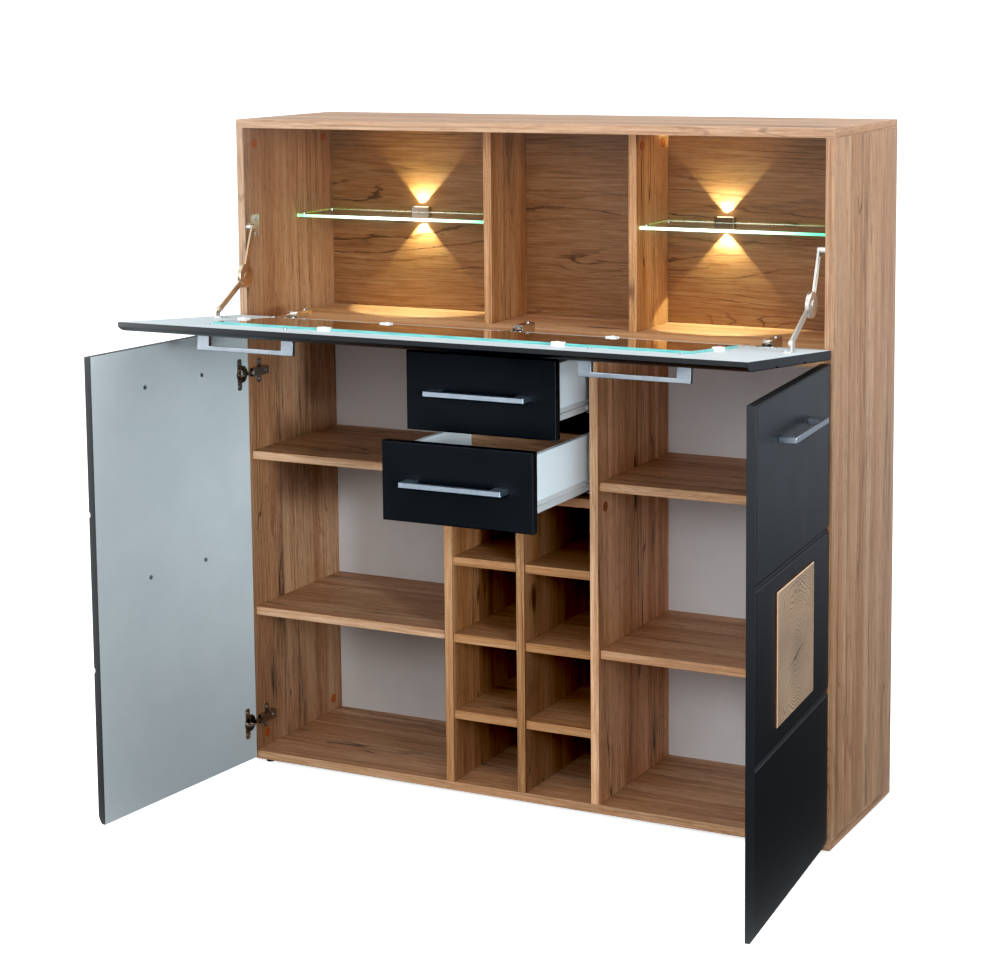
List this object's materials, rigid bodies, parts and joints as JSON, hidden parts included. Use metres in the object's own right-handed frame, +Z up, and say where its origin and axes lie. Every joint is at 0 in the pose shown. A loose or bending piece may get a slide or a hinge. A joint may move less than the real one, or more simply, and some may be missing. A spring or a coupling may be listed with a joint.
{
  "type": "bar cabinet",
  "caption": "Free-standing bar cabinet with a drop-down flap over the bar, hinged doors, drawers and a bottle rack between the bays.",
  "frame": {"origin": "on the floor, in the middle of the open cabinet's box, under the line midway between the two side panels", "axes": "+X to the right as seen from the front, +Y from the doors and flap towards the back panel, +Z up"},
  "size_m": [1.4148, 0.8582, 1.372],
  "materials": {
    "oak_board": "knotty oak decor with visible grain, dark pores and cracks",
    "grey_back": "matt light grey painted board",
    "black_front": "satin black outside and edges, pale grey inner face",
    "oak_inlay": "end-grain oak square with a bevelled rim",
    "handle_metal": "satin bluish metal",
    "hinge_metal": "nickel-plated pressed steel",
    "stay_metal": "pressed zinc-plated steel",
    "pin_metal": "bright turned steel",
    "shelf_glass": "clear polished glass with green edges",
    "mirror_glass": "silvered glass with teal edges",
    "clip_plastic": "white moulded plastic",
    "lamp_body": "satin metal",
    "lamp_lens": "warm-white frosted lens",
    "drawer_side": "white coated board",
    "rail_steel": "white powder-coated steel",
    "cap_plastic": "orange-brown moulded plastic",
    "foot_plastic": "black moulded plastic"
  },
  "bodies": {
    "carcass": {"top_panel": "oak_board", "bottom_panel": "oak_board", "left_side_panel": "oak_board", "right_side_panel": "oak_board", "bar_floor": "oak_board", "bar_left_divider": "oak_board", "bar_right_divider": "oak_board", "bar_back_panel": "oak_board", "lower_left_divider": "oak_board", "lower_right_divider": "oak_board", "drawer_base_shelf": "oak_board", "rack_divider": "oak_board", "rack_shelves": "oak_board", "left_bay_shelves": "oak_board", "right_bay_shelves": "oak_board", "left_bay_back": "grey_back", "right_bay_back": "grey_back", "rack_back": "grey_back", "left_door_hinge_arms": "hinge_metal", "right_door_hinge_arms": "hinge_metal", "flap_hinge_arms": "hinge_metal", "stay_brackets": "stay_metal", "shelf_pins": "pin_metal", "left_glass_shelf": "shelf_glass", "right_glass_shelf": "shelf_glass", "clip_lamps": "lamp_body", "clip_lamp_lenses": "lamp_lens", "drawer_channels": "rail_steel", "cam_caps": "cap_plastic", "feet": "foot_plastic"},
    "left_door": {"left_door_panel": "black_front", "left_door_handle": "handle_metal", "left_door_inlay": "oak_inlay", "left_door_hinge_cups": "hinge_metal"},
    "right_door": {"right_door_panel": "black_front", "right_door_handle": "handle_metal", "right_door_inlay": "oak_inlay", "right_door_hinge_cups": "hinge_metal"},
    "flap": {"flap_panel": "black_front", "flap_glass": "mirror_glass", "glass_clips": "clip_plastic", "flap_handles": "handle_metal", "flap_hinge_cups": "hinge_metal", "stay_feet": "stay_metal"},
    "left_upper_stay": {"left_upper_stay_arm": "stay_metal"},
    "left_lower_stay": {"left_lower_stay_arm": "stay_metal"},
    "right_upper_stay": {"right_upper_stay_arm": "stay_metal"},
    "right_lower_stay": {"right_lower_stay_arm": "stay_metal"},
    "upper_drawer": {"upper_drawer_front": "black_front", "upper_drawer_handle": "handle_metal", "upper_drawer_sides": "drawer_side", "upper_drawer_back": "oak_board", "upper_drawer_bottom": "oak_board", "upper_drawer_rails": "rail_steel"},
    "lower_drawer": {"lower_drawer_front": "black_front", "lower_drawer_handle": "handle_metal", "lower_drawer_sides": "drawer_side", "lower_drawer_back": "oak_board", "lower_drawer_bottom": "oak_board", "lower_drawer_rails": "rail_steel"}
  },
  "joints": [
    {"name": "left_door_swing", "type": "hinge", "parent": "carcass", "child": "left_door", "pos_m": [-0.64, 0.04563, 0.4725], "axis": [0, 0, -1], "range_deg": [-94.7, 0]},
    {"name": "right_door_swing", "type": "hinge", "parent": "carcass", "child": "right_door", "pos_m": [0.64, 0.04563, 0.4725], "axis": [0, 0, 1], "range_deg": [-94.7, 0]},
    {"name": "flap_drop", "type": "hinge", "parent": "carcass", "child": "flap", "pos_m": [0, 0.04413, 0.954], "axis": [1, 0, 0], "range_deg": [-85, 0]},
    {"name": "left_stay_top", "type": "hinge", "parent": "carcass", "child": "left_upper_stay", "pos_m": [-0.618, 0.06813, 1.148], "axis": [1, 0, 0], "range_deg": [0, 102.94]},
    {"name": "left_stay_foot", "type": "hinge", "parent": "flap", "child": "left_lower_stay", "pos_m": [-0.618, -0.06998, 0.99209], "axis": [1, 0, 0], "range_deg": [0, 87.4]},
    {"name": "right_stay_top", "type": "hinge", "parent": "carcass", "child": "right_upper_stay", "pos_m": [0.618, 0.06813, 1.148], "axis": [1, 0, 0], "range_deg": [0, 102.94]},
    {"name": "right_stay_foot", "type": "hinge", "parent": "flap", "child": "right_lower_stay", "pos_m": [0.618, -0.06998, 0.99209], "axis": [1, 0, 0], "range_deg": [0, 87.4]},
    {"name": "upper_drawer_slide", "type": "slide", "parent": "carcass", "child": "upper_drawer", "axis": [0, -1, 0], "range_m": [-0.141, 0.099]},
    {"name": "lower_drawer_slide", "type": "slide", "parent": "carcass", "child": "lower_drawer", "axis": [0, -1, 0], "range_m": [-0.24, 0]}
  ],
  "couplings": [
    {"joint": "left_stay_top", "follows": "flap_drop", "ratio": -1.2052},
    {"joint": "left_stay_foot", "follows": "flap_drop", "ratio": -1.0224},
    {"joint": "right_stay_top", "follows": "flap_drop", "ratio": -1.2052},
    {"joint": "right_stay_foot", "follows": "flap_drop", "ratio": -1.0224}
  ]
}
